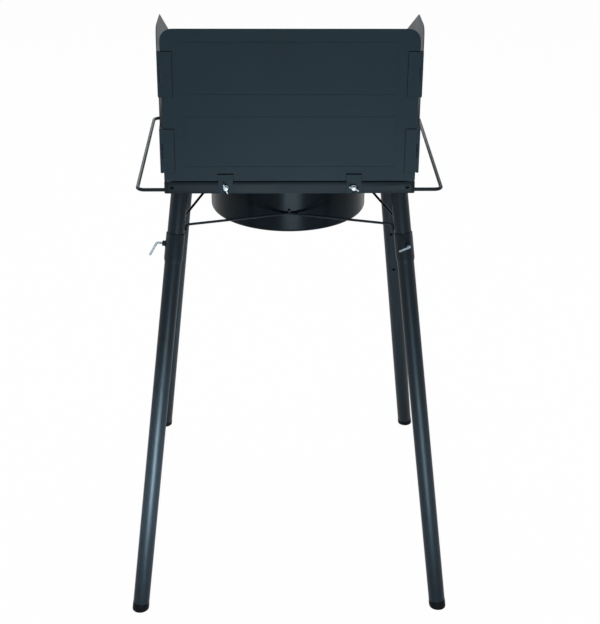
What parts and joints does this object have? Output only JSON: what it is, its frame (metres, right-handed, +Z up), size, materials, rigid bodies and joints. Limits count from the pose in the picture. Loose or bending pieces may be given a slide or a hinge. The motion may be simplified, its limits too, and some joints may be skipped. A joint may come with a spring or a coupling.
{
  "type": "camp gas stove",
  "caption": "Free-standing single-burner gas table on splayed plug-in tube legs, with a welded rod grate and a folding three-sided wind screen.",
  "frame": {"origin": "on the floor, under the middle of the table", "axes": "+Z up, +Y towards the cook with the knob, -Y towards the rear wind screen, which the picture shows nearest"},
  "size_m": [0.5518, 0.646, 1.01],
  "materials": {
    "powder_coat": "satin black powder coat with a cool cast",
    "gloss_enamel": "gloss black heat-resistant enamel",
    "cast_iron": "matt black, cast or welded, slightly rough",
    "zinc_steel": "bright zinc plating",
    "brass": "machined brass",
    "black_plastic": "matt black moulded plastic"
  },
  "bodies": {
    "table": {"table_frame": "powder_coat", "leg_stub_rear_left": "powder_coat", "leg_stub_rear_right": "powder_coat", "leg_stub_front_left": "powder_coat", "leg_stub_front_right": "powder_coat", "brace_rear": "powder_coat", "brace_left": "powder_coat", "brace_right": "powder_coat", "handle_left": "powder_coat", "handle_right": "powder_coat", "burner_drum": "gloss_enamel", "drum_bolt_1": "zinc_steel", "drum_bolt_2": "zinc_steel", "drum_bolt_3": "zinc_steel", "drum_bolt_4": "zinc_steel", "burner_strap": "zinc_steel", "burner_bolt": "zinc_steel", "burner_bowl": "cast_iron", "burner_cap": "cast_iron", "mixer_tube": "cast_iron", "gas_jet": "brass", "gas_valve": "brass", "gas_inlet": "brass", "valve_nut": "brass", "control_panel": "powder_coat", "panel_screw_left": "zinc_steel", "panel_screw_right": "zinc_steel"},
    "grate": {"cooking_grate": "cast_iron"},
    "wind_screen": {"back_screen": "powder_coat", "hinge_leaf_left_lower": "powder_coat", "hinge_leaf_left_upper": "powder_coat", "hinge_leaf_right_lower": "powder_coat", "hinge_leaf_right_upper": "powder_coat", "hinge_pin_left_lower": "powder_coat", "hinge_pin_left_upper": "powder_coat", "hinge_pin_right_lower": "powder_coat", "hinge_pin_right_upper": "powder_coat", "latch_clip_left": "powder_coat", "latch_clip_right": "powder_coat"},
    "side_left": {"side_screen_left": "powder_coat"},
    "side_right": {"side_screen_right": "powder_coat"},
    "wing_left": {"wing_screw_left": "zinc_steel"},
    "wing_right": {"wing_screw_right": "zinc_steel"},
    "knob": {"control_knob": "black_plastic", "valve_stem": "brass"},
    "shutter": {"air_shutter": "zinc_steel"},
    "leg_rear_left_body": {"leg_rear_left": "powder_coat", "foot_rear_left": "black_plastic"},
    "clamp_rear_left": {"clamp_screw_rear_left": "zinc_steel"},
    "leg_rear_right_body": {"leg_rear_right": "powder_coat", "foot_rear_right": "black_plastic"},
    "clamp_rear_right": {"clamp_screw_rear_right": "zinc_steel"},
    "leg_front_left_body": {"leg_front_left": "powder_coat", "foot_front_left": "black_plastic"},
    "clamp_front_left": {"clamp_screw_front_left": "zinc_steel"},
    "leg_front_right_body": {"leg_front_right": "powder_coat", "foot_front_right": "black_plastic"},
    "clamp_front_right": {"clamp_screw_front_right": "zinc_steel"}
  },
  "joints": [
    {"name": "grate_lift", "type": "slide", "parent": "table", "child": "grate", "axis": [0, 0, 1], "range_m": [0, 0.05]},
    {"name": "wind_screen_lift", "type": "slide", "parent": "table", "child": "wind_screen", "axis": [0, 0, 1], "range_m": [0, 0.05]},
    {"name": "side_left_fold", "type": "hinge", "parent": "wind_screen", "child": "side_left", "pos_m": [-0.2052, -0.1888, 0.89], "axis": [0, 0, -1], "range_deg": [0, 90]},
    {"name": "side_right_fold", "type": "hinge", "parent": "wind_screen", "child": "side_right", "pos_m": [0.2052, -0.1888, 0.89], "axis": [0, 0, 1], "range_deg": [0, 88.5]},
    {"name": "wing_left_turn", "type": "hinge", "parent": "table", "child": "wing_left", "pos_m": [-0.1035, -0.19, 0.7465], "axis": [0, 1, 0], "continuous": true},
    {"name": "wing_right_turn", "type": "hinge", "parent": "table", "child": "wing_right", "pos_m": [0.1035, -0.19, 0.7465], "axis": [0, 1, 0], "continuous": true},
    {"name": "leg_rear_left_pull", "type": "slide", "parent": "table", "child": "leg_rear_left_body", "axis": [-0.1095, -0.1825, -0.9771], "range_m": [0, 0.055]},
    {"name": "clamp_rear_left_turn", "type": "hinge", "parent": "leg_rear_left_body", "child": "clamp_rear_left", "pos_m": [-0.20952, -0.1877, 0.64777], "axis": [-0.9939, 0.0101, 0.1095], "continuous": true},
    {"name": "leg_rear_right_pull", "type": "slide", "parent": "table", "child": "leg_rear_right_body", "axis": [0.1095, -0.1825, -0.9771], "range_m": [0, 0.055]},
    {"name": "clamp_rear_right_turn", "type": "hinge", "parent": "leg_rear_right_body", "child": "clamp_rear_right", "pos_m": [0.19421, -0.20732, 0.64972], "axis": [0.2475, -0.947, 0.2047], "continuous": true},
    {"name": "leg_front_left_pull", "type": "slide", "parent": "table", "child": "leg_front_left_body", "axis": [-0.1095, 0.1825, -0.9771], "range_m": [0, 0.055]},
    {"name": "clamp_front_left_turn", "type": "hinge", "parent": "leg_front_left_body", "child": "clamp_front_left", "pos_m": [-0.19421, 0.20732, 0.64972], "axis": [-0.2475, 0.947, 0.2047], "continuous": true},
    {"name": "leg_front_right_pull", "type": "slide", "parent": "table", "child": "leg_front_right_body", "axis": [0.1095, 0.1825, -0.9771], "range_m": [0, 0.055]},
    {"name": "clamp_front_right_turn", "type": "hinge", "parent": "leg_front_right_body", "child": "clamp_front_right", "pos_m": [0.19421, 0.20732, 0.64972], "axis": [0.2475, 0.947, 0.2047], "continuous": true},
    {"name": "knob_turn", "type": "hinge", "parent": "table", "child": "knob", "pos_m": [0, 0.196, 0.684], "axis": [0, -1, 0], "range_deg": [0, 270]},
    {"name": "shutter_turn", "type": "hinge", "parent": "table", "child": "shutter", "pos_m": [0, 0.1503, 0.684], "axis": [0, 1, 0], "range_deg": [0, 60]}
  ]
}
